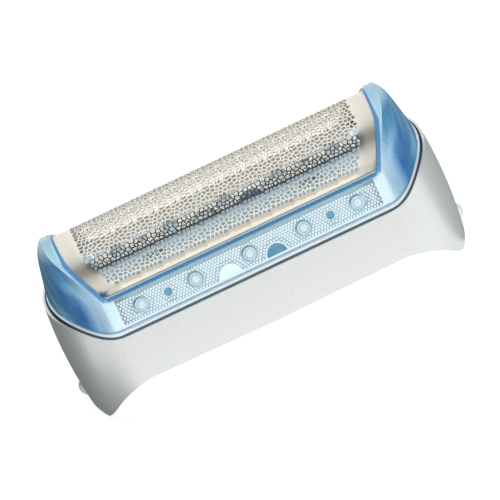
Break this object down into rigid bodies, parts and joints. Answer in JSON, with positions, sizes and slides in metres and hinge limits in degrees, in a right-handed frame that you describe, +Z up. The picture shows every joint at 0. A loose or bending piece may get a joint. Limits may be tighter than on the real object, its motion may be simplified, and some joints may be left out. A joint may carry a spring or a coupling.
{
  "type": "shaver foil head",
  "caption": "Clip-on foil head for an electric shaver: silver shell, translucent blue foil carrier and an arched perforated metal foil.",
  "frame": {"origin": "middle of the head, on the plane of the shell's feet", "axes": "+X along the head, -Y to the front, +Z up through the foil's crown"},
  "size_m": [0.0588, 0.0256, 0.0248],
  "materials": {
    "silver_shell": "satin silver paint on moulded plastic, fine speckle",
    "blue_carrier": "translucent blue plastic, deep where thick, almost clear in the thin windows",
    "nickel_foil": "thin bright nickel sheet with a warm sheen",
    "natural_stud": "natural pale plastic"
  },
  "bodies": {
    "root": {"outer_shell": "silver_shell", "foil_carrier": "blue_carrier", "shaving_foil": "nickel_foil", "left_stud": "natural_stud", "right_stud": "natural_stud"}
  },
  "joints": []
}
